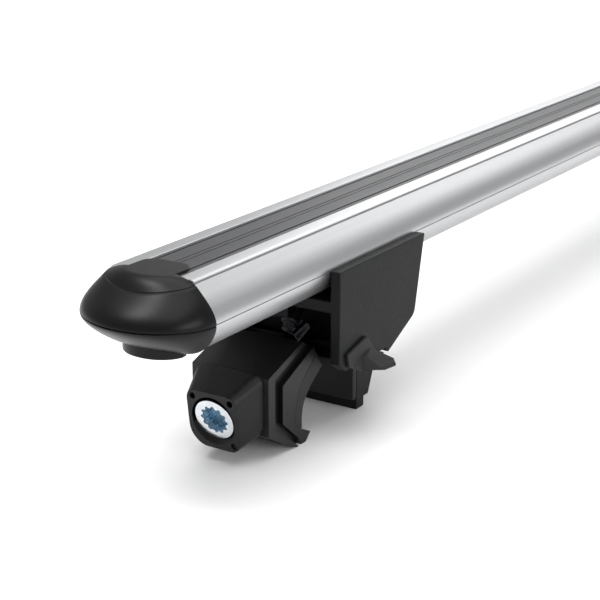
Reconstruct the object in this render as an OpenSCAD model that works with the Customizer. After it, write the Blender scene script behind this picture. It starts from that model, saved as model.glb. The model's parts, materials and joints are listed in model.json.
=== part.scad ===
// Roof rack crossbar: an aluminium bar with end caps and two feet that clamp raised side rails.
// The bar runs along X, the rails run along Y, and Z = 0 is the level the feet stand on.
// Every foot is drawn in its own frame: u along the bar from the rail centre towards mid-span,
// and z down from the top of the bar.

/* [Crossbar] */
// Length of the aluminium bar without its end caps
bar_l = 1200; // [900:10:1400]
// Width of the bar across its two noses
bar_w = 60; // [56:1:68]
// Height of the bar
bar_h = 29.5; // [28:0.5:34]
// Wall of the extrusion
bar_wall = 2; // [1.6:0.1:2.4]
// Width of the mouth of the top and bottom slots
slot_mouth = 11; // [10:0.5:12]
// Width inside the slots
slot_w = 19; // [18:0.5:21]
// Height inside the slots
slot_h = 6.5; // [6:0.25:7]
// Thickness of the slot lips
slot_lip = 2.2; // [1.8:0.1:2.6]

/* [Rubber strip] */
// Width of the strip in the top of the bar
strip_w = 24.8; // [23:0.2:26]
// Thickness of the strip
strip_t = 2; // [1.6:0.1:2.4]
// Clearance all round the strip
strip_gap = 0.2; // [0.1:0.05:0.3]

/* [End caps] */
// How far the cap reaches out past the end of the bar
cap_l = 24.7; // [20:0.5:30]
// How far the cap stands proud of the bar all round
cap_proud = 0.4; // [0.2:0.1:0.8]
// Length of the tongue that laps over the strip
tongue_l = 13.3; // [10:0.5:16]
// Width of the tongue
tongue_w = 22.6; // [20:0.5:24]
// Thickness of the tongue
tongue_t = 1.2; // [1:0.1:1.6]
// Width of the tab under the cap
tab_w = 29.4; // [24:0.5:34]
// Length of the tab under the cap
tab_l = 9.6; // [8:0.2:12]
// Depth of the tab below the bar
tab_t = 2.5; // [1.5:0.25:3.5]
// Length of the plugs inside the bar
plug_l = 16; // [10:1:24]
// Clearance round the plugs
plug_gap = 0.3; // [0.2:0.05:0.5]

/* [Rail] */
// Distance from the bar end to the centre of the rail
foot_in = 98; // [92:1:180]
// Width of the rail between the two jaws
rail_w = 43.4; // [40:0.2:46]
// Drop from the underside of the bar to the top of the rail
rail_drop = 34.5; // [34:0.5:40]

/* [Foot bracket] */
// Thickness of the two cheeks
cheek_t = 4.7; // [3.5:0.1:5.5]
// Clearance between the bar and each cheek
cheek_gap = 0.3; // [0.2:0.05:0.5]
// How far the cheeks reach from the rail centre towards the bar end
cheek_out = 16; // [15:0.5:18]
// Length of the cheeks along their top edge
cheek_l = 75; // [74:0.5:80]
// Slant of the inner edge of the cheeks
cheek_taper = 7.4; // [4:0.2:9]
// Height of the chamfer at the lower inner corner
cheek_chamfer = 9; // [6:0.5:11]
// Thickness of the deck under the bar
deck_t = 5; // [4:0.25:6]
// Thickness of the floor over the rail
floor_t = 3.5; // [3:0.25:4]
// Thickness of the inner jaw wall
jaw_t = 7; // [6:0.25:8]
// Thickness of the stiffening ribs
rib_t = 4; // [3:0.25:5]
// Thickness of the saddle pad on the rail
pad_t = 2.5; // [2:0.25:3.5]
// Reach of the saddle pad beside the cheeks
pad_wing = 11.8; // [9:0.2:14]

/* [Claw] */
// Width of the claw along the rail
claw_w = 39.4; // [34:0.2:44]
// Thickness of the claw at the rail
claw_t = 25.9; // [25:0.1:28]
// Depth of the claw below the top of the rail
claw_drop = 31; // [29:0.5:35]
// How far the hook reaches under the rail
hook_reach = 7; // [5:0.25:8]
// Thickness of the outer flange of the claw
flange_t = 5; // [4:0.25:6]
// Thickness of the rubber on the claw and on the inner jaw
liner_t = 5.4; // [4.5:0.1:6]
// Travel of the claw from clamped to open
claw_travel = 12; // [10:0.5:14]

/* [Clamp bolt] */
// Thread diameter of the clamp bolt
bolt_d = 8; // [8:0.5:8.5]
// Rise of the bolt from the claw to the bracket, in degrees
bolt_rise = 16.5; // [15:0.25:18]
// Diameter of the bolt head
head_d = 19.4; // [18:0.1:20]
// Thickness of the bolt head
head_t = 7; // [6:0.25:8]
// Diameter of the toothed socket
socket_d = 13.6; // [12:0.2:14.4]
// Width of the housing face round the head
housing_w = 25.6; // [25:0.1:28]
// Height of the housing face round the head
housing_h = 26.4; // [25:0.1:28]
// Lean of the housing face, in degrees
face_lean = 8; // [0:0.5:16]

/* [Slot bolts] */
// Thread diameter of the bolts into the bar slot
slot_bolt_d = 8; // [6:0.5:8]
// Width across the flats of the hexagons
hex_af = 13; // [11:0.5:13]

/* [Hidden] */

// Overrun of every cut
cut = 1;
// Number of sides of the fine circles
round_fn = 48;
// Number of steps along a curve
curve_steps = 12;
// Play of a thread in its nut, on the radius
thread_play = 0.05;
// Play of a bolt in a clearance hole, on the radius
hole_play = 0.3;
// Gap between a rubber piece and its carrier
rubber_gap = 0.1;

// Levels, measured down from the top of the bar
bar_bottom = -bar_h;
nose_share = 0.53;
nose_z = -bar_h * nose_share;
deck_bottom = bar_bottom - deck_t;
rail_top = bar_bottom - rail_drop;
floor_bottom = rail_top + pad_t;
floor_top = floor_bottom + floor_t;
stand_z = rail_top - claw_drop;
stand_h = -stand_z;

// Half widths across the bar
bar_half = bar_w / 2;
cheek_in = bar_half + cheek_gap;
cheek_face = cheek_in + cheek_t;
claw_half = claw_w / 2;

// Places along the foot, from the rail centre
rail_half = rail_w / 2;
cheek_end = cheek_l - cheek_out;
claw_face = -rail_half - claw_t;
jaw_liner_share = 0.6;
jaw_liner_t = liner_t * jaw_liner_share;
jaw_face = rail_half + jaw_liner_t;
jaw_back = jaw_face + jaw_t;

// A point on a curve with two end points and two handles
function curve_point(a, b, c, d, t) =
    a * pow(1 - t, 3) + b * 3 * t * pow(1 - t, 2) + c * 3 * t * t * (1 - t) + d * pow(t, 3);
// The points of that curve
function curve(a, b, c, d, n = curve_steps) = [for (i = [0 : n]) curve_point(a, b, c, d, i / n)];
// The same outline on the other side
function mirrored(pts) = [for (i = [len(pts) - 1 : -1 : 0]) [-pts[i].x, pts[i].y]];
// Points in shares of a width and a height
function sized(shares, w, h) = [for (p = shares) [p.x * w, p.y * h]];

// Draws a side outline (u, z) as a plate of the given width, centred on the bar
module across(w) {
    translate([0, w / 2, 0]) rotate([90, 0, 0]) linear_extrude(w) children();
}
// Draws a cross section (y, z) along the bar
module along(l) {
    rotate([90, 0, 90]) linear_extrude(l) children();
}
module both_sides() {
    children();
    mirror([0, 1, 0]) children();
}
module hexagon(af, h) {
    cylinder(d = af / cos(30), h = h, $fn = 6);
}

// Puts a foot at the left end of the bar, or its mirror image at the right end
module at_left() {
    translate([-bar_l / 2 + foot_in, 0, stand_h]) children();
}
module at_right() {
    mirror([1, 0, 0]) at_left() children();
}

// Crossbar

// Shoulder, flank and belly of the bar, as shares of half its width and of its height
shoulder_share = 0.675;
flat_share = 0.62;
flank_shares = [[0.687, -0.054], [0.827, -0.203], [0.993, -0.356], [1, -0.53]];
belly_shares = [[1, -0.55], [0.985, -0.725], [0.79, -0.995], [0.52, -1]];
// Fine grooves along the shoulder and under the nose
groove_w = 0.6;
groove_d = 0.5;

function bar_flank(w, h) = let(s = sized(flank_shares, w, h)) curve(s[0], s[1], s[2], s[3]);
function bar_belly(w, h) = let(s = sized(belly_shares, w, h)) curve(s[0], s[1], s[2], s[3]);
function bar_half_outline(w, h) = concat([[w * flat_share, 0], [w * shoulder_share, -groove_d]],
    bar_flank(w, h), bar_belly(w, h));
function inner_outline(inset) = let(pts = bar_half_outline(bar_half - inset, bar_h - 2 * inset))
    [for (p = pts) [p.x, p.y - inset]];

slot_roof = bar_bottom + slot_lip + slot_h;
slot_floor = -strip_t - slot_lip - slot_h;
web_half = slot_w / 2 + bar_wall;

module bar_section() {
    outline = bar_half_outline(bar_half, bar_h);
    inner = inner_outline(bar_wall);
    difference() {
        polygon(concat(outline, mirrored(outline)));
        intersection() {
            polygon(concat(inner, mirrored(inner)));
            union() {
                for (s = [-1, 1])
                    translate([s * (web_half + bar_w / 2), bar_bottom / 2])
                        square([bar_w, bar_h + cut], center = true);
                translate([-slot_w / 2, slot_roof + bar_wall])
                    square([slot_w, slot_floor - slot_roof - 2 * bar_wall]);
            }
        }
        translate([-strip_w / 2, -strip_t]) square([strip_w, strip_t + cut]);
        translate([-slot_mouth / 2, slot_floor]) square([slot_mouth, -slot_floor]);
        translate([-slot_w / 2, slot_floor]) square([slot_w, slot_h]);
        translate([-slot_mouth / 2, bar_bottom - cut]) square([slot_mouth, slot_lip + slot_h + cut]);
        translate([-slot_w / 2, bar_bottom + slot_lip]) square([slot_w, slot_h]);
        for (s = [-1, 1]) {
            translate([s * bar_half * shoulder_share - groove_w / 2, -groove_d * 2])
                square([groove_w, groove_d * 2 + cut]);
            translate([s * bar_half, nose_z - groove_w / 2])
                square([2 * groove_d, groove_w], center = true);
        }
    }
}
module bar_extrusion() {
    color("silver") translate([-bar_l / 2, 0, stand_h]) along(bar_l) bar_section();
}

// Rubber strip, with two edge grooves, a double line in the middle and a barbed root in the slot
strip_line = 0.5;
strip_edge = 2.4;
strip_middle = 1.2;
barb = 1.2;

module strip_section() {
    half = strip_w / 2 - strip_gap;
    neck = slot_mouth / 2 - strip_gap;
    base = -strip_t + strip_gap;
    root = -strip_t - slot_lip - barb;
    difference() {
        union() {
            translate([-half, base]) square([2 * half, -base]);
            translate([-neck, root - barb]) square([2 * neck, base - root + barb + strip_line]);
            polygon([[-neck, root - barb], [neck, root - barb], [neck + barb, root + strip_line],
                [neck, root + strip_line], [-neck, root + strip_line], [-neck - barb, root + strip_line]]);
        }
        for (s = [-1, 1]) {
            translate([s * (half - strip_edge), 0]) square(strip_line * 2, center = true);
            translate([s * strip_middle, 0]) square(strip_line, center = true);
        }
        translate([0, root]) square([neck, 3 * barb], center = true);
    }
}
module top_strip() {
    color("dimgray") translate([-bar_l / 2, 0, stand_h]) along(bar_l) strip_section();
}

// End caps

// The creases of the cap and the bulge between them, as shares
crease_l_share = 0.53;
crease_drop_share = 0.135;
bottom_l_share = 0.12;
// The crown, as shares of the way out to the crease and of the fall to it
crown_shares = [[0.54, 0], [0.74, 0.07], [0.89, 0.28]];
crown_top_share = 0.97;
// Handles of a rib between the crease and the nose, as shares of the way out and of the fall
side_shares = [[0.447, 0.314], [0.979, 0.636]];
// Handles of a rib under the nose, at the seam and in the middle of the cap
under_seam_shares = [[0.985, 0.415], [0.56, 0]];
under_middle_shares = [[0.97, 0.25], [0.33, 0.033]];
ring_count = 24;
rib_steps = 8;

// Distance from the middle of the seam to an ellipse of half axes l and w, in direction a
function ellipse_r(l, w, a) = l * w / sqrt(pow(w * cos(a), 2) + pow(l * sin(a), 2));

// Radius and height of one rib of the cap in direction a, from the top centre to the bottom centre
function cap_rib(a) = let(
        w = bar_half + cap_proud,
        h = bar_h + cap_proud,
        top = ellipse_r(cap_l * crease_l_share, w * flank_shares[0].x, a),
        nose = ellipse_r(cap_l, w, a),
        foot = ellipse_r(cap_l * bottom_l_share, w * belly_shares[3].x, a),
        top_z = -h * (crease_drop_share * cos(a) - flank_shares[0].y * (1 - cos(a))),
        nose_z = flank_shares[3].y * h,
        foot_z = -h,
        crown_z = tongue_t * crown_top_share,
        k = under_seam_shares * (1 - cos(a)) + under_middle_shares * cos(a),
        crown = [for (c = crown_shares) [top * c.x, crown_z + (top_z - crown_z) * c.y]],
        out = nose - top,
        fall = nose_z - top_z,
        side = curve([top, top_z], [top + out * side_shares[0].x, top_z + fall * side_shares[0].y],
            [top + out * side_shares[1].x, top_z + fall * side_shares[1].y], [nose, nose_z], rib_steps),
        under = curve([nose, nose_z - cap_proud], [nose * k[0].x, nose_z + (foot_z - nose_z) * k[0].y],
            [foot + (nose - foot) * k[1].x, foot_z + h * k[1].y], [foot, foot_z], rib_steps)
    ) concat(crown, side, under);

module cap_dome() {
    ribs = [for (i = [0 : ring_count]) cap_rib(-90 + 180 * i / ring_count)];
    m = len(ribs[0]);
    pts = concat([[0, 0, tongue_t * crown_top_share]], [[0, 0, -bar_h - cap_proud]],
        [for (i = [0 : ring_count]) for (p = ribs[i]) let(a = -90 + 180 * i / ring_count)
            [i == 0 || i == ring_count ? 0 : -p.x * cos(a), p.x * sin(a), p.y]]);
    function at(i, j) = 2 + i * m + j;
    tris = concat(
        [for (i = [0 : ring_count - 1]) [0, at(i, 0), at(i + 1, 0)]],
        [for (i = [0 : ring_count - 1]) [1, at(i + 1, m - 1), at(i, m - 1)]],
        [for (i = [0 : ring_count - 1]) for (j = [0 : m - 2]) [at(i, j), at(i, j + 1), at(i + 1, j)]],
        [for (i = [0 : ring_count - 1]) for (j = [0 : m - 2]) [at(i + 1, j), at(i, j + 1), at(i + 1, j + 1)]],
        [concat([0], [for (j = [0 : m - 1]) at(ring_count, j)], [1], [for (j = [m - 1 : -1 : 0]) at(0, j)])]);
    polyhedron(pts, tris);
}
module cap_plug() {
    inner = inner_outline(bar_wall + plug_gap);
    intersection() {
        along(plug_l) polygon(concat(inner, mirrored(inner)));
        both_sides() translate([0, web_half + plug_gap, -bar_h]) cube([plug_l, bar_w, bar_h]);
    }
}
// Round-nosed tab that covers the end of the bottom slot, and its gap to the underside of the bar
tab_in = 2;
tab_gap = 0.1;
tab_rise = 4.5;
module tab_outline(l_in) {
    intersection() {
        translate([tab_in, 0]) scale([tab_l + tab_in, tab_w / 2]) circle(r = 1, $fn = round_fn);
        translate([-tab_l, -tab_w / 2]) square([tab_l + l_in, tab_w]);
    }
}
module cap_tab() {
    translate([0, 0, -bar_h - tab_t]) {
        linear_extrude(tab_t - tab_gap) tab_outline(tab_in);
        linear_extrude(tab_t + tab_rise) tab_outline(0);
    }
}
// Tongue over the strip, with rounded corners, rooted in the crown
tongue_corner = 6;
tongue_root = 2;
module cap_tongue() {
    inner_w = tongue_w - 2 * tongue_corner;
    translate([0, 0, strip_gap]) linear_extrude(tongue_t - strip_gap) {
        translate([-tongue_root, -tongue_w / 2]) square([tongue_root + tongue_l - tongue_corner, tongue_w]);
        translate([-tongue_root, -inner_w / 2]) square([tongue_root + tongue_l, inner_w]);
        for (s = [-1, 1])
            translate([tongue_l - tongue_corner, s * inner_w / 2]) circle(r = tongue_corner, $fn = round_fn);
    }
}
module end_cap() {
    color([0.13, 0.13, 0.14]) {
        cap_dome();
        cap_tongue();
        cap_tab();
        cap_plug();
    }
}
module cap_at_left() {
    translate([-bar_l / 2, 0, stand_h]) children();
}
module end_cap_left() { cap_at_left() end_cap(); }
module end_cap_right() { mirror([1, 0, 0]) cap_at_left() end_cap(); }

// Foot bracket: two cheeks, a deck under the bar, a nut wall, a floor over the rail and the inner jaw

// The clamp bolt runs in the middle of the foot and rises towards mid-span
housing_l = 12.6;
head_drop = 11;
head_u = claw_face - housing_l;
head_z = rail_top - head_drop;
function bolt_z(u) = head_z + (u - head_u) * tan(bolt_rise);
// Places along the bolt, measured from the housing face
head_sink = 0.8;
washer_t = 1.6;
nut_t = 6.5;
nut_play = 0.2;
wall_t = 6;
wall_back = 11.5;
wall_s = (rail_half - wall_back - head_u) / cos(bolt_rise);
bolt_tail = 5.5;
seat_s = head_sink + head_t + washer_t;
clip_reach = 20;
clip_s = seat_s + clip_reach;
clip_t = 1.2;
clip_rim = 1.5;
clip_groove = 0.5;
clip_d = bolt_d + 2 * clip_rim;
nut_s = wall_s + wall_t;
bolt_end_s = nut_s + nut_t + claw_travel - bolt_tail / 2;

module on_bolt(s) {
    translate([head_u, 0, head_z]) rotate([0, 90 - bolt_rise, 0]) translate([0, 0, s]) children();
}
// A point (u, z) at distance s along the bolt and r above it
function beside_bolt(s, r) = [head_u + s * cos(bolt_rise) - r * sin(bolt_rise),
    head_z + s * sin(bolt_rise) + r * cos(bolt_rise)];

// A point of a face square to the bolt, at distance s along the bolt and at height z
function wall_point(s, z) = beside_bolt(s, (z - beside_bolt(s, 0).y) / cos(bolt_rise));

cheek_corner_r = 5;
cheek_corner_share = 0.75;
chamfer_run_share = 2.2;
cheek_sink = 2.4;
cheek_sink_run = 1.6;
cheek_heel = [5.6, 4.4];
function arc(c, r, from, to, n) = [for (i = [0 : n]) c + r * [cos(from + (to - from) * i / n),
    sin(from + (to - from) * i / n)]];
// The chamfer runs on past the floor to the rail, and the outer lower corner is cut back
module cheek_outline() {
    low_in = [cheek_end - cheek_taper, floor_bottom + cheek_chamfer];
    low_mid = [low_in.x - (cheek_chamfer + cheek_sink) * chamfer_run_share, floor_bottom - cheek_sink];
    corner = [low_in.x - cheek_corner_r, low_in.y + cheek_corner_r * cheek_corner_share];
    polygon(concat([[-cheek_out, nose_z], [-cheek_out, floor_bottom + cheek_heel.y],
        [-cheek_out + cheek_heel.x, floor_bottom], [low_mid.x - cheek_sink_run, floor_bottom], low_mid],
        arc(corner, cheek_corner_r, -64, -11, curve_steps / 2), [[cheek_end, nose_z]]));
}
// The inclined boss of the stop screw
stop_lean = 44;
stop_d = 5;
stop_boss_d = 7.6;
stop_collar_d = 8.6;
stop_collar_t = 1.4;
stop_reach = 5;
stop_back = 8;
stop_root = [rail_half - stop_back, deck_bottom];
stop_boss_l = 19;
module on_stop(s) {
    translate([stop_root.x, 0, stop_root.y]) rotate([0, 270 - stop_lean, 0]) translate([0, 0, s]) children();
}
slot_bolt_edge = 7;
slot_bolt_back = 12.8;
slot_bolt_u = [slot_bolt_edge - cheek_out, jaw_back + slot_bolt_back];
deck_end = cheek_end - cheek_taper + rib_t / 2;
floor_back = 14;
rib_foot = 4.6;

module foot_bracket() {
    color([0.2, 0.2, 0.21]) difference() {
        union() {
            both_sides() translate([0, cheek_in + cheek_t / 2, 0]) across(cheek_t) cheek_outline();
            translate([-cheek_out, -cheek_in - cut, deck_bottom])
                cube([cheek_out + deck_end, 2 * (cheek_in + cut), deck_t]);
            across(2 * (cheek_in + cut)) polygon([wall_point(wall_s, floor_bottom + floor_t / 2),
                wall_point(nut_s, floor_bottom + floor_t / 2), wall_point(nut_s, deck_bottom + deck_t / 2),
                wall_point(wall_s, deck_bottom + deck_t / 2)]);
            translate([rail_half - floor_back, -cheek_in - cut, floor_bottom])
                cube([jaw_back - rail_half + floor_back, 2 * (cheek_in + cut), floor_t]);
            translate([jaw_face, -claw_half, stand_z]) cube([jaw_t, claw_w, floor_top - stand_z]);
            translate([jaw_face, -claw_half, floor_bottom])
                cube([jaw_t, claw_w, deck_bottom - floor_bottom + cut]);
            both_sides() translate([0, claw_half - rib_t / 2, 0]) across(rib_t)
                polygon([[jaw_back - cut, stand_z + rib_foot], [jaw_back + rib_t, stand_z + rib_foot],
                    [deck_end - rib_t, floor_top], [deck_end - rib_t, deck_bottom + cut],
                    [jaw_back - cut, deck_bottom + cut]]);
            intersection() {
                on_stop(-stop_boss_d)
                    cylinder(d = stop_boss_d, h = stop_boss_d + stop_boss_l, $fn = round_fn);
                translate([-cheek_out, -cheek_in, floor_top])
                    cube([cheek_l, 2 * cheek_in, bar_bottom - floor_top]);
            }
        }
        on_bolt(wall_s - wall_t) cylinder(r = bolt_d / 2 + hole_play, h = bolt_end_s, $fn = round_fn);
        for (u = slot_bolt_u)
            translate([u, 0, deck_bottom - cut])
                cylinder(r = slot_bolt_d / 2 + hole_play, h = deck_t + 2 * cut, $fn = round_fn);
        on_bolt(nut_s) hexagon(hex_af + 2 * nut_play, bolt_end_s);
        on_stop(-cut) cylinder(r = stop_d / 2 + thread_play, h = stop_boss_l + 2 * cut, $fn = round_fn);
    }
}

// Screw that stops the claw, in the inclined boss, and the collar that locks it
module stop_screw() {
    color([0.3, 0.3, 0.32]) on_stop(0) cylinder(d = stop_d, h = stop_boss_l + stop_reach, $fn = round_fn);
}
module stop_collar() {
    color([0.25, 0.25, 0.26]) on_stop(stop_boss_l) difference() {
        cylinder(d = stop_collar_d, h = stop_collar_t, $fn = round_fn);
        translate([0, 0, -cut])
            cylinder(r = stop_d / 2 + thread_play, h = stop_collar_t + 2 * cut, $fn = round_fn);
    }
}

// Saddle pad: a rubber plate on the rail with a wing beside each cheek
pad_out = -0.4;
wing_t = 1.6;
toe_t = 1.2;
// Upright fin against the cheek, and the ridge before it that falls to the toe (u, height over the rail)
wing_fin = [[-1.2, 0], [-10, 4.5], [-11.5, 10.4], [5.2, 14.3], [9.3, 9.3], [17.6, 0.8], [17.6, 0]];
wing_ridge = [[-1.2, 0], [-6, 3.4], [7.8, 8.4], [18.4, 0.8], [18.4, 0]];
// Plan of the toe (u, distance from the cheek)
wing_toe = [[-8, -1], [-8, 2], [0.6, 2.2], [5.6, 10.4], [12.8, 11.8], [17.2, 8.2], [18.6, 3.2], [18.6, -1]];
function on_rail(pts) = [for (p = pts) [p.x, rail_top + p.y]];
module saddle_pad() {
    pad_in = rail_half - jaw_liner_t / 2;
    wing_in = cheek_face + rubber_gap;
    wing_out = cheek_face + pad_wing;
    color([0.12, 0.12, 0.12]) {
        translate([pad_out, -cheek_face - wing_t, rail_top])
            cube([pad_in - pad_out, 2 * (cheek_face + wing_t), pad_t]);
        both_sides() translate([0, wing_in + wing_t / 2, 0]) across(wing_t) polygon(on_rail(wing_fin));
        both_sides() intersection() {
            across(2 * wing_out) polygon(on_rail(wing_ridge));
            translate([-bar_w, 0, rail_top]) along(2 * bar_w) polygon([[wing_in, 0], [wing_out, 0],
                [wing_out, toe_t], [wing_out - 2 * wing_t, toe_t], [wing_in, wing_ridge[2].y + toe_t]]);
            translate([0, cheek_face, rail_top - cut]) linear_extrude(bar_h) polygon(wing_toe);
        }
    }
}

// Rubber liner on the inner jaw, hooked round the lower end of the wall
module inner_liner() {
    top = floor_bottom - pad_t - rubber_gap;
    color([0.12, 0.12, 0.12]) translate([rail_half, -claw_half, stand_z + liner_t])
        cube([jaw_liner_t - rubber_gap, claw_w, top - stand_z - liner_t]);
}

// Nuts, washers and bolts that hold the foot in the bottom slot of the bar
slot_nut_l = 16;
slot_nut_gap = 0.25;
slot_nut_t = 5;
slot_head_t = 5.3;
slot_washer_d = 16;
module slot_nuts() {
    color([0.7, 0.7, 0.72]) for (u = slot_bolt_u)
        translate([u, 0, bar_bottom + slot_lip]) difference() {
            translate([-slot_nut_l / 2, -slot_w / 2 + slot_nut_gap, 0])
                cube([slot_nut_l, slot_w - 2 * slot_nut_gap, slot_nut_t]);
            translate([0, 0, -cut])
                cylinder(r = slot_bolt_d / 2 + thread_play, h = slot_nut_t + 2 * cut, $fn = round_fn);
        }
}
module slot_washers() {
    color([0.7, 0.7, 0.72]) for (u = slot_bolt_u)
        translate([u, 0, deck_bottom - washer_t]) difference() {
            cylinder(d = slot_washer_d, h = washer_t, $fn = round_fn);
            translate([0, 0, -cut])
                cylinder(r = slot_bolt_d / 2 + hole_play, h = washer_t + 2 * cut, $fn = round_fn);
        }
}
module slot_bolts() {
    low = deck_bottom - washer_t - slot_head_t;
    color([0.7, 0.7, 0.72]) for (u = slot_bolt_u)
        translate([u, 0, low]) {
            hexagon(hex_af, slot_head_t);
            cylinder(d = slot_bolt_d, h = bar_bottom + slot_lip + slot_nut_t - low, $fn = round_fn);
        }
}

// Clamp nut behind the nut wall
module clamp_nut() {
    color([0.7, 0.7, 0.72]) on_bolt(nut_s) difference() {
        hexagon(hex_af, nut_t);
        translate([0, 0, -cut]) cylinder(r = bolt_d / 2 + thread_play, h = nut_t + 2 * cut, $fn = round_fn);
    }
}

// Claw: an outer flange, a recessed neck and a body that holds the rubber liner

claw_slope = 18.5;
claw_rise = 7.5;
claw_top = rail_top + claw_rise;
flange_rim = 3.2;
neck_t = 11;
neck_rim = 9.7;
neck_in = 2.6;
// Crest and shoulder, from the upper corner of the rail side, and the points of the hook, from its foot
claw_crest = 0.4;
claw_shoulder = [10, 10.8];
flange_foot = 12.3;
hook_heel = [-9.2, 2.3];
hook_low = [-4, 3.1];
lip_t = 3.7;
hook_root = 7;

// Inner side of the liner: two ends and two handles from the upper corner of the rail side, and how
// each moves with an offset
hold_points = [[16.4, 0.3], [6.7, -6], [-0.3, -10], [0, -21.1]];
hold_move_shares = [[-0.95, 1.2], [-0.75, 1.25], [-1, 1.1], [-1, 0]];
function claw_hold(d) = let(
        p = [for (i = [0 : 3]) [-rail_half, rail_top] + hold_points[i] + d * hold_move_shares[i]]
    ) curve(p[0], p[1], p[2], p[3]);
// Side outline of the claw with its face moved in by d and its top by rim. The shares k move its corners
// along the edge past the crest, inwards from the heel and along the bottom edge
step_shares = [[0, 0, 0], [0.3, 0.6, 0.3], [0.92, 0.62, 0.34]];
corner_share = 0.2;
function claw_outline(d, rim, k) = let(
        face = claw_face + d,
        crest_z = claw_top + (claw_crest - rail_half - claw_face) * tan(claw_slope),
        crest = [claw_crest - rail_half, crest_z],
        shoulder = [-rail_half, rail_top] + claw_shoulder,
        heel = [-rail_half, stand_z] + hook_heel
    ) concat([[face, claw_top + d * tan(claw_slope) - rim / cos(claw_slope)],
        [face, stand_z + flange_foot + d * corner_share], heel + d * k[1] * [1, corner_share],
        [-rail_half + hook_low.x + d * k[2], stand_z], [-rail_half + hook_low.y, stand_z],
        [-rail_half + hook_reach, stand_z + lip_t], [-rail_half, stand_z + hook_root]],
        [for (i = [curve_steps : -1 : 0]) claw_hold(0)[i]], [shoulder, crest + (shoulder - crest) * k[0]]);
function liner_outline(d) = concat(claw_hold(0),
    [for (i = [curve_steps : -1 : 0]) claw_hold(liner_t + d)[i]]);

module claw_bolt_hole() {
    on_bolt(0) cylinder(r = bolt_d / 2 + hole_play, h = bolt_end_s, $fn = round_fn);
    on_bolt(clip_s) cylinder(r = clip_d / 2 + hole_play, h = bolt_end_s, $fn = round_fn);
}
module rail_claw() {
    color([0.15, 0.15, 0.16]) difference() {
        union() {
            across(claw_w - 2 * neck_in) polygon(claw_outline(0, 0, step_shares[0]));
            across(claw_w - 2 * rubber_gap) polygon(claw_outline(neck_t, neck_rim, step_shares[2]));
            difference() {
                across(claw_w) polygon(claw_outline(0, 0, step_shares[0]));
                across(claw_w + 2 * cut) polygon(claw_outline(flange_t, flange_rim, step_shares[1]));
            }
        }
        across(claw_w + 2 * cut) polygon(liner_outline(rubber_gap));
        claw_bolt_hole();
    }
}
module claw_liner() {
    color([0.12, 0.12, 0.12]) difference() {
        across(claw_w) polygon(liner_outline(0));
        claw_bolt_hole();
    }
}

// Housing of the bolt head, on the outer face of the claw
housing_draft = 1;
housing_corner = 5;
housing_low_corner = 9;
housing_margin = 2.5;
housing_lift = 2;
housing_edge = 0.5;
pocket_play = 1.2;
pocket_d = head_d + 2 * pocket_play;
screw_hole_d = 3;
screw_hole_t = 2.5;
screw_edge = 3.2;
module housing_section(w, h) {
    low = housing_low_corner;
    high = housing_corner;
    right = w / 2;
    top = h / 2;
    polygon(concat(arc([right - low, low - top], low, -90, 0, 9),
        arc([right - high, top - high], high, 0, 90, 6),
        arc([high - right, top - high], high, 90, 180, 6),
        arc([high - right, high - top], high, 180, 270, 6)));
}
// It widens from its leaning face to the face of the claw
module bolt_housing() {
    hole_y = housing_w / 2 - screw_edge;
    hole_z = housing_h / 2 - screw_edge;
    color([0.13, 0.13, 0.14]) difference() {
        hull() {
            translate([head_u, 0, head_z]) rotate([0, -face_lean, 0]) along(housing_edge)
                housing_section(housing_w, housing_h);
            translate([claw_face - housing_edge, 0, bolt_z(claw_face) + housing_lift]) along(housing_edge)
                housing_section(claw_w - 2 * housing_margin, housing_h + 2 * housing_draft);
        }
        on_bolt(-head_d) cylinder(d = pocket_d, h = head_d + seat_s, $fn = round_fn);
        on_bolt(0) cylinder(r = bolt_d / 2 + hole_play, h = bolt_end_s, $fn = round_fn);
        for (s = [[1, 1], [-1, 1], [-1, -1]])
            translate([head_u, s.x * hole_y, head_z + s.y * hole_z]) rotate([0, 90, 0])
                translate([0, 0, -housing_l])
                    cylinder(d = screw_hole_d, h = housing_l + screw_hole_t, $fn = round_fn);
    }
}

// Clamp bolt with a wide toothed socket, its washer and its clip
socket_t = 5.2;
tooth_count = 12;
tooth_t = 1;
module toothed_socket() {
    linear_extrude(socket_t + cut) polygon([for (i = [0 : 4 * tooth_count - 1])
        (socket_d / 2 - (i % 4 < 2 ? 0 : tooth_t)) * [cos(90 * i / tooth_count), sin(90 * i / tooth_count)]]);
}
module clamp_bolt() {
    color([0.8, 0.82, 0.85]) difference() {
        union() {
            on_bolt(head_sink) cylinder(d = head_d, h = head_t, $fn = round_fn);
            on_bolt(head_sink + head_t - cut)
                cylinder(d = bolt_d, h = bolt_end_s - head_sink - head_t + cut, $fn = round_fn);
        }
        on_bolt(head_sink - cut) toothed_socket();
        on_bolt(clip_s - thread_play) difference() {
            cylinder(d = bolt_d + cut, h = clip_t + 2 * thread_play, $fn = round_fn);
            translate([0, 0, -cut])
                cylinder(d = bolt_d - 2 * clip_groove, h = clip_t + 3 * cut, $fn = round_fn);
        }
    }
}
module clamp_washer() {
    color([0.7, 0.7, 0.72]) on_bolt(head_sink + head_t) difference() {
        cylinder(d = head_d - pocket_play, h = washer_t, $fn = round_fn);
        translate([0, 0, -cut]) cylinder(r = bolt_d / 2 + hole_play, h = washer_t + 2 * cut, $fn = round_fn);
    }
}
module bolt_clip() {
    color([0.4, 0.4, 0.42]) on_bolt(clip_s) difference() {
        cylinder(d = clip_d, h = clip_t, $fn = round_fn);
        translate([0, 0, -cut])
            cylinder(d = bolt_d - 2 * clip_groove + 2 * thread_play, h = clip_t + 2 * cut, $fn = round_fn);
    }
}

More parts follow.
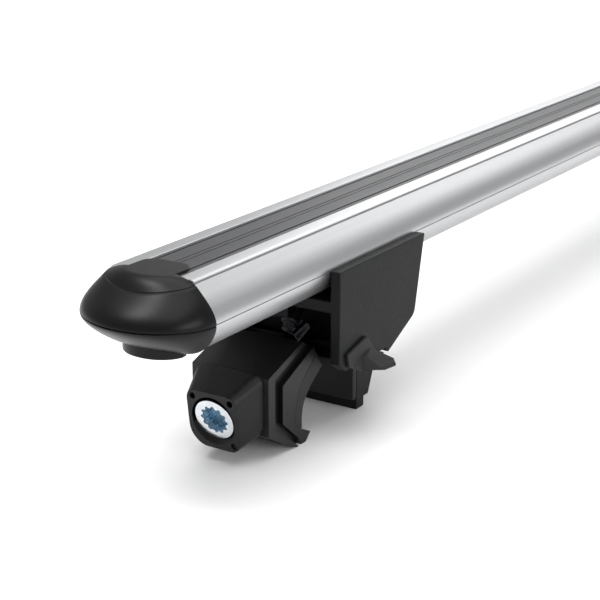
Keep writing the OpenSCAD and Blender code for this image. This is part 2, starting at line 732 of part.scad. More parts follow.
bar_extrusion();
top_strip();
end_cap_left();
end_cap_right();
at_left() foot_bracket();  // foot_bracket_left
at_right() foot_bracket();  // foot_bracket_right
at_left() saddle_pad();  // saddle_pad_left
at_right() saddle_pad();  // saddle_pad_right
at_left() inner_liner();  // inner_liner_left
at_right() inner_liner();  // inner_liner_right
at_left() slot_nuts();  // slot_nuts_left
at_right() slot_nuts();  // slot_nuts_right
at_left() slot_washers();  // slot_washers_left
at_right() slot_washers();  // slot_washers_right
at_left() slot_bolts();  // slot_bolts_left
at_right() slot_bolts();  // slot_bolts_right
at_left() clamp_nut();  // clamp_nut_left
at_right() clamp_nut();  // clamp_nut_right
at_left() stop_screw();  // stop_screw_left
at_right() stop_screw();  // stop_screw_right
at_left() stop_collar();  // stop_collar_left
at_right() stop_collar();  // stop_collar_right
at_left() rail_claw();  // rail_claw_left
at_right() rail_claw();  // rail_claw_right
at_left() claw_liner();  // claw_liner_left
at_right() claw_liner();  // claw_liner_right
at_left() bolt_housing();  // bolt_housing_left
at_right() bolt_housing();  // bolt_housing_right
at_left() clamp_washer();  // clamp_washer_left
at_right() clamp_washer();  // clamp_washer_right
at_left() clamp_bolt();  // clamp_bolt_left
at_right() clamp_bolt();  // clamp_bolt_right
at_left() bolt_clip();  // bolt_clip_left
at_right() bolt_clip();  // bolt_clip_right
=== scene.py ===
# %% [markdown]
# # A roof rack crossbar, dressed for its portrait
#
# A crossbar is an aluminium extrusion with a rubber strip in its top, a moulded cap on each end
# and a clamping foot near each end. The solids come from a CAD model, so every size is settled.
# This lesson gives each piece the surface of the real one: anodised aluminium, extruded rubber,
# grained nylon, powder coat and bright zinc. The pieces that the eye lingers on are built again as
# finer meshes in the same place, and the rest are copied with their edges eased.

# %% Load the CAD frame
import json
import math
import bmesh
import bpy
from mathutils import Matrix, Vector

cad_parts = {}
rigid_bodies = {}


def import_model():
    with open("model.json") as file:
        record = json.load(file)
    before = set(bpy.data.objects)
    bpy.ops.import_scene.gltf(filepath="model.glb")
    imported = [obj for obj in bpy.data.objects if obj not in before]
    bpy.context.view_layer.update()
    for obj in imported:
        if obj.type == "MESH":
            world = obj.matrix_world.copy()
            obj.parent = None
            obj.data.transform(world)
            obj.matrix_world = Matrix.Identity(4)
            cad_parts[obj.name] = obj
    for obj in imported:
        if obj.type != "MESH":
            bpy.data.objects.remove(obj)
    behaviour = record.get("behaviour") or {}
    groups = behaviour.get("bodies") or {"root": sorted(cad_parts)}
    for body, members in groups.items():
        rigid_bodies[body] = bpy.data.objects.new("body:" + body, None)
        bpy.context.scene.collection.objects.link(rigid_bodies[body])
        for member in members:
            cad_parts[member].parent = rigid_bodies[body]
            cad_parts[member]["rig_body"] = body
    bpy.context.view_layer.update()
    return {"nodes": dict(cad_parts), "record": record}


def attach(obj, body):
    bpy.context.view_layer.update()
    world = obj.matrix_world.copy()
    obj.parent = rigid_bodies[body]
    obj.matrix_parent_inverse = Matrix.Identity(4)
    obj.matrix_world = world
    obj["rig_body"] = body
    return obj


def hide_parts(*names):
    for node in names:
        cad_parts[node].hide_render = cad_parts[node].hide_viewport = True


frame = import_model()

# %% [markdown]
# ## Units and places
#
# Blender works in metres and the drawings of such products are in millimetres, so one factor
# turns one into the other. Lengths below are in millimetres until a mesh is made. Heights are
# measured from the top of the bar, so most are below zero.

# %% Units and places
MM = 0.001
BAR_TOP = 95.0
BAR_END = 600.0
FOOT_X = 502.0


def place(x, y, z):
    """A point in millimetres, with z measured from the top of the bar, as a place in metres."""
    return Vector((x * MM, y * MM, (BAR_TOP + z) * MM))


print("bar top at", BAR_TOP, "mm, feet at", FOOT_X, "mm from the middle")

# %% [markdown]
# ## Camera
#
# The camera stands a little above the bar, out past its end and to one side, with a moderate
# telephoto lens. Its place and its axes were worked out from the vanishing points of the bar and
# of the upright edges. A camera looks along its own minus Z, so the matrix takes the right and up
# directions, their cross product and the place.

# %% Camera
camera_data = bpy.data.cameras.new("portrait_camera")
camera_data.lens = 88.2
camera_data.sensor_width = 36.0
camera_data.clip_end = 50.0
camera = bpy.data.objects.new("portrait_camera", camera_data)
bpy.context.scene.collection.objects.link(camera)
camera_right = Vector((0.5392, -0.8422, 0.0)).normalized()
camera_up = Vector((0.2614, 0.1674, 0.9506)).normalized()
camera_back = camera_right.cross(camera_up)
camera_at = (-1.0229, -0.3383, 0.2597)
camera.matrix_world = Matrix((*zip(camera_right, camera_up, camera_back, camera_at),
                              (0.0, 0.0, 0.0, 1.0)))
bpy.context.scene.camera = camera
print("camera looks along", [round(-v, 3) for v in camera_back])

# %% [markdown]
# ## One way to make nodes
#
# A material is a small network of nodes. One helper adds a node, sets its options and the stops of
# a colour ramp, and either fills each input with a value or joins it to the output of another
# node. Colours are written as the hex values that a screen shows, and one function turns them to
# the linear light that the shader wants. The scale of a pattern is how many of its marks fit in a
# metre, so it follows from the real size of a mark.

# %% Node and colour helpers
def linear(hex_value):
    """An sRGB hex colour as linear red, green, blue and a full alpha."""
    channels = [int(hex_value[i:i + 2], 16) / 255 for i in (1, 3, 5)]
    return [c / 12.92 if c <= 0.04045 else ((c + 0.055) / 1.055) ** 2.4 for c in channels] + [1.0]


def per_metre(size_mm):
    """How many marks of a size in millimetres fit in a metre."""
    return 1000 / size_mm


def add(material, kind, inputs=None, stops=(), **settings):
    """Adds one node: settings, stops (position, hex colour), and inputs as sockets or values."""
    node = material.node_tree.nodes.new(kind)
    for key, value in settings.items():
        setattr(node, key, value)
    for i, (position, hex_value) in enumerate(stops):
        elements = node.color_ramp.elements
        stop = elements[i] if i < 2 else elements.new(position)
        stop.position, stop.color = position, linear(hex_value)
    for key, value in (inputs or {}).items():
        if isinstance(value, bpy.types.NodeSocket):
            material.node_tree.links.new(value, node.inputs[key])
        else:
            node.inputs[key].default_value = value
    return node


def blank(name):
    """A new node material, emptied."""
    material = bpy.data.materials.new(name)
    material.use_nodes = True
    material.node_tree.nodes.clear()
    return material


print("an sRGB grey of #808080 is", round(linear("#808080")[0], 3), "in linear light")

# %% [markdown]
# ## Floor and light
#
# Catalogue pictures stand the product on a pale sweep under big soft boxes. Metal shows what it
# reflects, so the light is an even white sky with one large box overhead, one at the near side,
# one past the far end that runs a bright band down the flank, and a small one off the near end
# that puts the soft glow on the dome of the cap. The floor is a plain sheet of matt board, with a
# faint mottling that keeps it from looking like a void.

# %% Floor and light
FLOOR_HALF = 6.0
floor_mesh = bpy.data.meshes.new("pale_board")
floor_mesh.from_pydata([(x * FLOOR_HALF, y * FLOOR_HALF, 0)
                        for x, y in ((-1, -1), (1, -1), (1, 1), (-1, 1))], [], [(0, 1, 2, 3)])
floor = bpy.data.objects.new("pale_board", floor_mesh)
bpy.context.scene.collection.objects.link(floor)
board = blank("matt_board")
board_place = add(board, "ShaderNodeTexCoord").outputs["Object"]
board_mottle = add(board, "ShaderNodeTexNoise", {"Vector": board_place, "Scale": per_metre(333)})
board_colour = add(board, "ShaderNodeValToRGB", {"Fac": board_mottle.outputs["Fac"]},
                   stops=((0.3, "#F4F4F4"), (0.7, "#F8F8F8")))
board_shader = add(board, "ShaderNodeBsdfPrincipled",
                   {"Base Color": board_colour.outputs["Color"], "Roughness": 0.9})
add(board, "ShaderNodeOutputMaterial", {"Surface": board_shader.outputs["BSDF"]})
floor_mesh.materials.append(board)

world = bpy.data.worlds.new("even_sky")
world.use_nodes = True
sky = world.node_tree.nodes["Background"]
sky.inputs["Color"].default_value = linear("#FFFFFF")
sky.inputs["Strength"].default_value = 0.5
bpy.context.scene.world = world
bpy.context.scene.view_settings.view_transform = "Standard"


def soft_box(name, centre, target, width, height, power):
    """A rectangular area light that faces its target; lengths in metres, power in watts."""
    data = bpy.data.lights.new(name, "AREA")
    data.shape = "RECTANGLE"
    data.size, data.size_y, data.energy = width, height, power
    light = bpy.data.objects.new(name, data)
    light.location = centre
    light.rotation_euler = (Vector(target) - Vector(centre)).to_track_quat("-Z", "Y").to_euler()
    bpy.context.scene.collection.objects.link(light)


soft_box("overhead_box", (-0.5, 0.0, 2.1), (-0.3, 0.0, 0.0), 2.6, 2.6, 49)
soft_box("near_box", (-1.0, -2.0, 0.8), (-0.4, 0.0, 0.05), 1.6, 0.8, 16)
soft_box("far_box", (1.9, 0.3, 1.35), (-0.3, 0.0, 0.09), 2.3, 0.8, 20.5)
soft_box("cap_box", (-1.1, 0.5, 1.55), (-0.6, 0.0, 0.08), 0.4, 0.4, 7.5)
print("floor and four soft boxes")

# %% [markdown]
# ## Anodised aluminium
#
# The bar is extruded alloy, lightly etched and clear anodised. The die leaves fine lines along the
# bar, in bands about 6 mm wide, and the etch adds a frosting. To the eye that is a satin metal: no
# mirror images, but bright bands that run the whole length. It is a pure metal in the shader, with
# a middling roughness, and two noises pulled out along the bar carry the lines. Real die lines are
# about 0.2 mm apart and the frosting is finer still, too fine to show from here, so they are drawn
# at 0.6 mm and 0.4 mm.

# %% Anodised aluminium
def anodised_aluminium():
    """Satin metal with die lines along X."""
    metal = blank("anodised_aluminium")
    line_scale = (per_metre(333), per_metre(0.625), per_metre(0.625))
    band_scale = (per_metre(667), per_metre(6.25), per_metre(6.25))
    here = add(metal, "ShaderNodeTexCoord").outputs["Object"]
    die_space = add(metal, "ShaderNodeMapping", {"Vector": here, "Scale": line_scale})
    die_lines = add(metal, "ShaderNodeTexNoise", {"Vector": die_space.outputs["Vector"],
                                                  "Scale": 1.0, "Detail": 4.0}).outputs["Fac"]
    band_space = add(metal, "ShaderNodeMapping", {"Vector": here, "Scale": band_scale})
    bands = add(metal, "ShaderNodeTexNoise", {"Vector": band_space.outputs["Vector"],
                                              "Scale": 1.0, "Detail": 2.0})
    etch = add(metal, "ShaderNodeTexNoise",
               {"Vector": here, "Scale": per_metre(0.385), "Detail": 2.0})
    colour = add(metal, "ShaderNodeValToRGB", {"Fac": bands.outputs["Fac"]},
                 stops=((0.3, "#B7B8BA"), (0.7, "#C1C2C3"))).outputs["Color"]
    rough = add(metal, "ShaderNodeMapRange",
                {"Value": die_lines, "To Min": 0.34, "To Max": 0.46}).outputs["Result"]
    frost = add(metal, "ShaderNodeBump", {"Height": etch.outputs["Fac"], "Strength": 0.12,
                                          "Distance": 0.02 * MM}).outputs["Normal"]
    lines = add(metal, "ShaderNodeBump", {"Height": die_lines, "Normal": frost, "Strength": 0.25,
                                          "Distance": 0.03 * MM}).outputs["Normal"]
    shader = add(metal, "ShaderNodeBsdfPrincipled", {"Base Color": colour, "Metallic": 1.0,
                                                     "Roughness": rough, "Normal": lines})
    add(metal, "ShaderNodeOutputMaterial", {"Surface": shader.outputs["BSDF"]})
    return metal


FINISHES = {"anodised_bar": anodised_aluminium()}
print("made", FINISHES["anodised_bar"].name)

# %% [markdown]
# ## Extruded and moulded rubber
#
# The strip is EPDM rubber, pushed through a die and cured: near black when new, greyer once it is
# handled, with faint lines about a millimetre apart along its length. The pads and liners are
# moulded from the same family of rubber, with a matt skin and a bloom of paler dust in clouds of
# 14 mm. Rubber has an IOR of about 1.5 and a high roughness, so what one sees is a soft veil of
# light over a dark body.

# %% Rubber
def rubber(name, dark, pale, roughness, specular, along_bar):
    """Dark rubber with a paler bloom; its skin is drawn out along X or even."""
    soft = blank(name)
    here = add(soft, "ShaderNodeTexCoord").outputs["Object"]
    fine, drawn_out = per_metre(1.11), per_metre(167 if along_bar else 1.11)
    skin_space = add(soft, "ShaderNodeMapping",
                     {"Vector": here, "Scale": (drawn_out, fine, fine)})
    skin = add(soft, "ShaderNodeTexNoise", {"Vector": skin_space.outputs["Vector"],
                                            "Scale": 1.0, "Detail": 4.0}).outputs["Fac"]
    bloom = add(soft, "ShaderNodeTexNoise",
                {"Vector": here, "Scale": per_metre(14.3), "Detail": 5.0}).outputs["Fac"]
    colour = add(soft, "ShaderNodeValToRGB", {"Fac": bloom},
                 stops=((0.3, dark), (0.72, pale))).outputs["Color"]
    rough = add(soft, "ShaderNodeMapRange", {"Value": bloom, "To Min": roughness - 0.06,
                                             "To Max": roughness + 0.08}).outputs["Result"]
    relief = add(soft, "ShaderNodeBump",
                 {"Height": skin, "Strength": 0.35, "Distance": 0.05 * MM}).outputs["Normal"]
    shader = add(soft, "ShaderNodeBsdfPrincipled",
                 {"Base Color": colour, "Roughness": rough, "IOR": 1.5,
                  "Specular IOR Level": specular, "Normal": relief})
    add(soft, "ShaderNodeOutputMaterial", {"Surface": shader.outputs["BSDF"]})
    return soft


FINISHES["strip_rubber"] = rubber("epdm_strip", "#1E1F22", "#2B2C2F", 0.42, 0.55, True)
FINISHES["rubber"] = rubber("moulded_rubber", "#0F0F10", "#181819", 0.62, 0.4, False)
print("made", FINISHES["strip_rubber"].name, "and", FINISHES["rubber"].name)

# %% [markdown]
# ## Moulded nylon
#
# Caps and clamp blocks are injection moulded in black glass-filled nylon. The mould is spark
# eroded, which prints a fine pebble grain on every face. The grain scatters the highlight into a
# broad soft glow. A real one is about 0.2 mm across, too fine to show from here, so it is drawn at
# about half a millimetre. Flow marks of about 18 mm, in the colour and in the gloss, keep it from
# looking regular. The caps have the smoother mould of the two.

# %% Moulded nylon
def moulded_nylon(name, dark, pale, roughness, grain_mm, specular):
    """Black nylon with a pebble grain of the given size."""
    nylon = blank(name)
    here = add(nylon, "ShaderNodeTexCoord").outputs["Object"]
    grain = add(nylon, "ShaderNodeTexVoronoi", {"Vector": here, "Scale": per_metre(grain_mm)},
                feature="SMOOTH_F1").outputs["Distance"]
    flow = add(nylon, "ShaderNodeTexNoise",
               {"Vector": here, "Scale": per_metre(18.2), "Detail": 4.0}).outputs["Fac"]
    colour = add(nylon, "ShaderNodeValToRGB", {"Fac": flow},
                 stops=((0.3, dark), (0.75, pale))).outputs["Color"]
    rough = add(nylon, "ShaderNodeMapRange", {"Value": flow, "To Min": roughness - 0.04,
                                              "To Max": roughness + 0.05}).outputs["Result"]
    relief = add(nylon, "ShaderNodeBump",
                 {"Height": grain, "Strength": 0.25, "Distance": 0.06 * MM}).outputs["Normal"]
    shader = add(nylon, "ShaderNodeBsdfPrincipled",
                 {"Base Color": colour, "Roughness": rough, "IOR": 1.53,
                  "Specular IOR Level": specular, "Normal": relief})
    add(nylon, "ShaderNodeOutputMaterial", {"Surface": shader.outputs["BSDF"]})
    return nylon


FINISHES["cap_moulding"] = moulded_nylon(
    "grained_nylon_cap", "#050506", "#09090A", 0.33, 0.45, 0.17)
FINISHES["black_moulding"] = moulded_nylon(
    "grained_nylon_clamp", "#060607", "#0A0A0B", 0.44, 0.5, 0.28)
print("made", FINISHES["cap_moulding"].name, "and", FINISHES["black_moulding"].name)

# %% [markdown]
# ## Powder coat
#
# The bracket is a casting under black polyester powder, baked at about 200 degrees. The powder
# flows together but not flat: it keeps an orange peel of about a millimetre. It is a shade lighter
# than the nylon beside it, and less glossy.

# %% Powder coat
def powder_coat():
    """Black powder with an orange peel."""
    coat = blank("black_powder_coat")
    here = add(coat, "ShaderNodeTexCoord").outputs["Object"]
    peel = add(coat, "ShaderNodeTexNoise",
               {"Vector": here, "Scale": per_metre(1.11), "Detail": 2.0}).outputs["Fac"]
    cloud = add(coat, "ShaderNodeTexNoise",
                {"Vector": here, "Scale": per_metre(25), "Detail": 3.0})
    colour = add(coat, "ShaderNodeValToRGB", {"Fac": cloud.outputs["Fac"]},
                 stops=((0.3, "#0A0B0C"), (0.7, "#0F1011"))).outputs["Color"]
    rough = add(coat, "ShaderNodeMapRange",
                {"Value": peel, "To Min": 0.46, "To Max": 0.6}).outputs["Result"]
    relief = add(coat, "ShaderNodeBump",
                 {"Height": peel, "Strength": 0.3, "Distance": 0.08 * MM}).outputs["Normal"]
    shader = add(coat, "ShaderNodeBsdfPrincipled",
                 {"Base Color": colour, "Roughness": rough, "IOR": 1.5,
                  "Specular IOR Level": 0.17, "Normal": relief})
    add(coat, "ShaderNodeOutputMaterial", {"Surface": shader.outputs["BSDF"]})
    return coat


FINISHES["bracket_coat"] = powder_coat()
print("made", FINISHES["bracket_coat"].name)

# %% [markdown]
# ## Black zinc and blackened steel
#
# Fasteners are steel. The slot bolts, and all nuts and washers, are plated in black zinc, which
# looks like dark satin. The stop screws, their collars and the clips are blackened: an oiled oxide
# that keeps a dull metal glint. Both have clouds of 4 mm in their tone. Their pits are finer than
# a tenth of a millimetre, too fine to show from here, so they are drawn half a millimetre apart.

# %% Black zinc and blackened steel
def plated_steel(name, dark, pale, roughness, spread):
    """Steel with a cloudy tone; the roughness strays by the spread."""
    steel = blank(name)
    here = add(steel, "ShaderNodeTexCoord").outputs["Object"]
    cloud = add(steel, "ShaderNodeTexNoise",
                {"Vector": here, "Scale": per_metre(3.85), "Detail": 4.0}).outputs["Fac"]
    pits = add(steel, "ShaderNodeTexNoise",
               {"Vector": here, "Scale": per_metre(0.455), "Detail": 2.0}).outputs["Fac"]
    colour = add(steel, "ShaderNodeValToRGB", {"Fac": cloud},
                 stops=((0.3, dark), (0.7, pale))).outputs["Color"]
    rough = add(steel, "ShaderNodeMapRange", {"Value": cloud, "To Min": roughness - spread,
                                              "To Max": roughness + spread}).outputs["Result"]
    relief = add(steel, "ShaderNodeBump",
                 {"Height": pits, "Strength": 0.15, "Distance": 0.03 * MM}).outputs["Normal"]
    shader = add(steel, "ShaderNodeBsdfPrincipled", {"Base Color": colour, "Metallic": 1.0,
                                                     "Roughness": rough, "Normal": relief})
    add(steel, "ShaderNodeOutputMaterial", {"Surface": shader.outputs["BSDF"]})
    return steel


FINISHES["zinc_steel"] = plated_steel("black_zinc_plate", "#1C1D20", "#2A2B2F", 0.5, 0.07)
FINISHES["dark_steel"] = plated_steel("blackened_steel", "#55565A", "#68696D", 0.46, 0.08)
print("made", FINISHES["zinc_steel"].name, "and", FINISHES["dark_steel"].name)

# %% [markdown]
# ## The zinc of the clamp bolt
#
# Bright zinc plate is nearly white and smooth, because the bath levels the surface. A blue-grey
# band is painted where the socket lies, a few millimetres in from the face, as a painted reflection
# with painted shade. How deep a point lies follows from its place along the bolt, which rises at
# 16.5 degrees, so the painted light is a ramp over that distance, 100 mm in all. Past the head the
# zinc is painted grey and then dark grey out to the thread at the far end, as painted shade. The
# root is where the axis of the bolt meets the face of its head, as a distance from the middle of
# the foot, inwards, and a height.

# %% The zinc of the clamp bolt
BOLT_ROOT, BOLT_ANGLE = (-60.2, -75.0), math.radians(16.5)
PAINTED_LIGHT_LENGTH = 100.0


def bright_zinc_with_painted_light():
    """Bright zinc with painted reflection and shade along the clamp bolt of either foot."""
    zinc = plated_steel("bright_zinc_painted_light", "#DDE3E9", "#F2F4F6", 0.2, 0.05)
    nodes = {node.bl_idname: node for node in zinc.node_tree.nodes}
    shader = nodes["ShaderNodeBsdfPrincipled"]
    pale = shader.inputs["Base Color"].links[0].from_socket
    here = nodes["ShaderNodeTexCoord"].outputs["Object"]
    one_end = add(zinc, "ShaderNodeVectorMath", {0: here}, operation="ABSOLUTE").outputs["Vector"]
    inwards, upwards = -math.cos(BOLT_ANGLE), math.sin(BOLT_ANGLE)
    along = add(zinc, "ShaderNodeVectorMath", {0: one_end, 1: (inwards, 0, upwards)},
                operation="DOT_PRODUCT").outputs["Value"]
    face_at = ((FOOT_X - BOLT_ROOT[0]) * inwards + (BAR_TOP + BOLT_ROOT[1]) * upwards) * MM
    depth = add(zinc, "ShaderNodeMapRange",
                {"Value": along, "From Min": face_at, "From Max": face_at + PAINTED_LIGHT_LENGTH * MM})
    # Painted light: a white face, a blue-grey painted reflection in the socket, then painted shade
    # from grey to dark grey along the shank and thread.
    painted_reflection_and_shade = add(zinc, "ShaderNodeValToRGB", {"Fac": depth.outputs["Result"]},
               stops=((0.04, "#FFFFFF"), (0.056, "#7FA3BA"), (0.068, "#7FA3BA"),
                      (0.084, "#FFFFFF"), (0.3, "#C8C8C8"), (0.45, "#48484A"))).outputs["Color"]
    colour_with_painted_light = add(zinc, "ShaderNodeMix", {0: 1.0, 6: pale, 7: painted_reflection_and_shade},
                  data_type="RGBA", blend_type="MULTIPLY")
    zinc.node_tree.links.new(colour_with_painted_light.outputs[2], shader.inputs["Base Color"])
    return zinc


FINISHES["bright_zinc"] = bright_zinc_with_painted_light()
print("finishes:", ", ".join(sorted(FINISHES)))

# %% [markdown]
# ## Turning a mesh into a piece
#
# Every piece needs the same last steps: faces shaded smooth, edges sharper than a set angle kept
# sharp, a finish, a body to ride on and the CAD node that it stands for. The record says which
# finish each node has, so one function does all of that. Weighted normals let the large flat faces
# rule the shading, so that a small bevel beside one does not bend the light across it.

# %% Piece helpers
SLOT_OF = {part["node"]: part["material_slot"] for part in frame["record"]["subparts"]}
BODY_OF = {name: node["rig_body"] for name, node in frame["nodes"].items()}


def finish_piece(name, bm, node, sharp_angle):
    """Makes a piece of a bmesh, in the place and finish of a CAD node, and frees the bmesh."""
    bmesh.ops.recalc_face_normals(bm, faces=bm.faces)
    mesh = bpy.data.meshes.new(name)
    bm.to_mesh(mesh)
    bm.free()
    mesh.shade_smooth()
    mesh.set_sharp_from_angle(angle=math.radians(sharp_angle))
    mesh.materials.append(FINISHES[SLOT_OF[node]])
    piece = bpy.data.objects.new(name, mesh)
    bpy.context.scene.collection.objects.link(piece)
    even = piece.modifiers.new("even_normals", "WEIGHTED_NORMAL")
    even.keep_sharp = True
    even.weight = 100
    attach(piece, BODY_OF[node])
    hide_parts(node)
    return piece


print("pieces will ride on:", ", ".join(sorted(set(BODY_OF.values()))))

# %% [markdown]
# ## The bar
#
# The section is an aerofoil: a flat top with a recess for the strip, a fine groove along each
# shoulder, flanks that swell to a nose at half height, and a belly tucked in below. Extruding one
# closed outline gives the real thing, hollows and slots included. The CAD solid has straight
# facets, so the outline is drawn again here with many more points on the same curves. A curve has
# two ends and two handles, as in the CAD profile, and the ends of an extrusion are filled between
# the outside and the hollows.

# %% Drawing and extruding an outline
def curve(a, b, c, d, steps):
    """Points on a curve with two ends and two handles, as in the CAD profile."""
    points = []
    for i in range(steps + 1):
        t = i / steps
        k = ((1 - t) ** 3, 3 * t * (1 - t) ** 2, 3 * t * t * (1 - t), t ** 3)
        points.append(tuple(k[0] * p + k[1] * q + k[2] * r + k[3] * s
                            for p, q, r, s in zip(a, b, c, d)))
    return points


def extruded(loops, x_from, x_to):
    """A bar along X from closed outlines (y, z): the outside first, and then any hollows."""
    bm = bmesh.new()
    end_edges = ([], [])
    for loop in loops:
        rings = [[bm.verts.new(place(x, y, z)) for y, z in loop] for x in (x_from, x_to)]
        count = len(loop)
        for i in range(count):
            j = (i + 1) % count
            bm.faces.new((rings[0][i], rings[0][j], rings[1][j], rings[1][i]))
        for ring, edges in zip(rings, end_edges):
            edges.extend(bm.edges.get((ring[i], ring[(i + 1) % count])) for i in range(count))
    for edges in end_edges:
        bmesh.ops.triangle_fill(bm, use_beauty=True, edges=edges)
    return bm


print("a curve of 4 steps has", len(curve((0, 0), (1, 0), (1, 1), (0, 1), 4)), "points")

# %% The bar
HALF_W, BAR_H, WALL = 30.0, 29.5, 2.0
MOUTH, SLOT_W, SLOT_H, LIP = 5.5, 9.5, 6.5, 2.2
STRIP_HALF, STRIP_T, TOP_FLAT = 12.4, 2.0, 18.6
FLANK = ((0.687, -0.054), (0.827, -0.203), (0.993, -0.356), (1.0, -0.53))
BELLY = ((1.0, -0.55), (0.985, -0.725), (0.79, -0.995), (0.52, -1.0))


def sized(shares, half_width, height):
    """Shares of the half width and the height as points (y, z)."""
    return [(y * half_width, z * height) for y, z in shares]


def outside_half():
    """Half of the outside, from the strip recess over the shoulder and nose to the bottom slot."""
    shoulder, nose = 20.25, -15.635
    top = [(STRIP_HALF, -STRIP_T), (STRIP_HALF, -0.25), (STRIP_HALF + 0.25, 0.0), (TOP_FLAT, 0.0)]
    groove = [(shoulder - 0.27, -0.42), (shoulder - 0.25, -1.9),
              (shoulder + 0.25, -1.9), (shoulder + 0.27, -1.28)]
    flank = curve(*sized(FLANK, HALF_W, BAR_H), 40)
    nose_line = [(HALF_W, nose - 0.06), (HALF_W - 0.4, nose - 0.14),
                 (HALF_W - 0.4, nose - 0.42), (HALF_W - 0.01, nose - 0.54)]
    belly = curve(*sized(BELLY, HALF_W, BAR_H), 36)
    slot = [(MOUTH + 0.3, -BAR_H), (MOUTH, -BAR_H + 0.3), (MOUTH, -BAR_H + LIP),
            (SLOT_W, -BAR_H + LIP), (SLOT_W, -BAR_H + LIP + SLOT_H)]
    return top + groove + flank + nose_line + belly + slot


def top_slot_half():
    """Half of the slot under the strip, from its floor out to the strip recess."""
    floor_z = -STRIP_T - LIP - SLOT_H
    return [(SLOT_W, floor_z), (SLOT_W, -STRIP_T - LIP), (MOUTH, -STRIP_T - LIP), (MOUTH, -STRIP_T)]


def both_halves(half):
    """A closed outline from its half with y above zero."""
    return half + [(-y, z) for y, z in reversed(half)]


def side_hollow():
    """The hollow between the outer wall and the slots, on the side with y above zero."""
    web = SLOT_W + WALL
    half_w, height = HALF_W - WALL, BAR_H - 2 * WALL
    inner = [(TOP_FLAT / HALF_W * half_w, 0.0), *curve(*sized(FLANK, half_w, height), 20),
             *curve(*sized(BELLY, half_w, height), 20)]
    kept = [(y, z - WALL) for y, z in inner if y > web]
    return [(web, -WALL), *kept, (web, -BAR_H + WALL)]


hollow = side_hollow()
middle_low, middle_top = -BAR_H + LIP + SLOT_H + WALL, -STRIP_T - LIP - SLOT_H - WALL
middle = [(-SLOT_W, middle_low), (SLOT_W, middle_low), (SLOT_W, middle_top), (-SLOT_W, middle_top)]
bar_mesh = extruded([both_halves(top_slot_half() + outside_half()), hollow,
                     [(-y, z) for y, z in hollow], middle], -BAR_END, BAR_END)
bar = finish_piece("bar_skin", bar_mesh, "bar_extrusion", 24.0)
print("bar faces:", len(bar.data.polygons))

# %% [markdown]
# ## The strip
#
# A barbed rubber profile is pulled into the top slot so that loads do not slip. Its face has a
# line near each edge and a pair in the middle where the lips meet. It is one more extrusion.

# %% The strip
def strip_half():
    """Half of the strip, from the middle of its face out to the barb and back to the middle."""
    half, neck = 12.2, 5.3
    face = []
    for line, width in ((1.2, 0.5), (9.8, 0.9)):
        low, high = line - width / 2, line + width / 2
        face += [(low - 0.12, 0.0), (low, -0.12), (low + 0.04, -0.5),
                 (high - 0.04, -0.5), (high, -0.12), (high + 0.12, 0.0)]
    edge = [(half - 0.5, 0.0), (half - 0.15, -0.12), (half, -0.45), (half, -1.8), (neck, -1.8)]
    root = [(neck, -4.7), (neck + 1.2, -4.9), (neck, -6.6), (2.65, -6.6), (2.65, -3.6)]
    return face + edge + root


strip_mesh = extruded([both_halves(strip_half())], -BAR_END, BAR_END)
strip = finish_piece("strip_skin", strip_mesh, "top_strip", 50.0)
print("strip faces:", len(strip.data.polygons))

# %% [markdown]
# ## The end caps
#
# Each cap is a moulded dome that carries the aerofoil round the end of the bar. A small step runs
# round its crown and a notched crease round its nose, where the mould parts. The dome is swept:
# ribs fan out from the middle of the seam, each a side profile of its own, and one skin joins
# them. A swept skin follows the aerofoil exactly at the seam, which a sculpted ball would not.

# %% The dome of an end cap
CAP_L, PROUD, TONGUE_T = 24.7, 0.4, 1.2
CREASE_SHARE, CREASE_DROP, FOOT_SHARE = 0.53, 0.135, 0.12
RIBS = 96


def ellipse(length, half_width, angle):
    """Distance from the middle of the seam to an ellipse, in the direction of the angle."""
    return length * half_width / math.hypot(half_width * math.cos(angle), length * math.sin(angle))


def cap_rib(angle):
    """Radius and height of the dome, from its crown over the nose to its underside."""
    w, h, fall = HALF_W + PROUD, BAR_H + PROUD, math.cos(angle)
    top = ellipse(CAP_L * CREASE_SHARE, w * FLANK[0][0], angle)
    nose = ellipse(CAP_L, w, angle)
    foot = ellipse(CAP_L * FOOT_SHARE, w * BELLY[3][0], angle)
    top_z = -h * (CREASE_DROP * fall - FLANK[0][1] * (1 - fall))
    nose_z, foot_z = FLANK[3][1] * h, -h
    crown = curve((top * 0.5, TONGUE_T), (top * 0.7, TONGUE_T),
                  (top * 0.87, TONGUE_T + (top_z - TONGUE_T) * 0.6),
                  (top * 0.985, top_z + 0.22), 16)
    step = [(top * 0.985 + 0.06, top_z - 0.2)]
    side = curve((top, top_z),
                 (top + (nose - top) * 0.447, top_z + (nose_z - top_z) * 0.314),
                 (nose - (nose - top) * 0.021, top_z + (nose_z - top_z) * 0.636),
                 (nose, nose_z), 26)
    notch = 0.3 + 0.4 * fall
    crease = [(nose - notch, nose_z - 0.35)]
    low_r, low_z = 0.985 * (1 - fall) + 0.97 * fall, 0.415 * (1 - fall) + 0.25 * fall
    foot_r, foot_lift = 0.56 * (1 - fall) + 0.33 * fall, 0.033 * fall
    under = curve((nose - notch * 0.3, nose_z - 0.8),
                  (nose * low_r, nose_z + (foot_z - nose_z) * low_z),
                  (foot + (nose - foot) * foot_r, foot_z + h * foot_lift),
                  (foot, foot_z), 22)
    return crown + step + side[1:] + crease + under


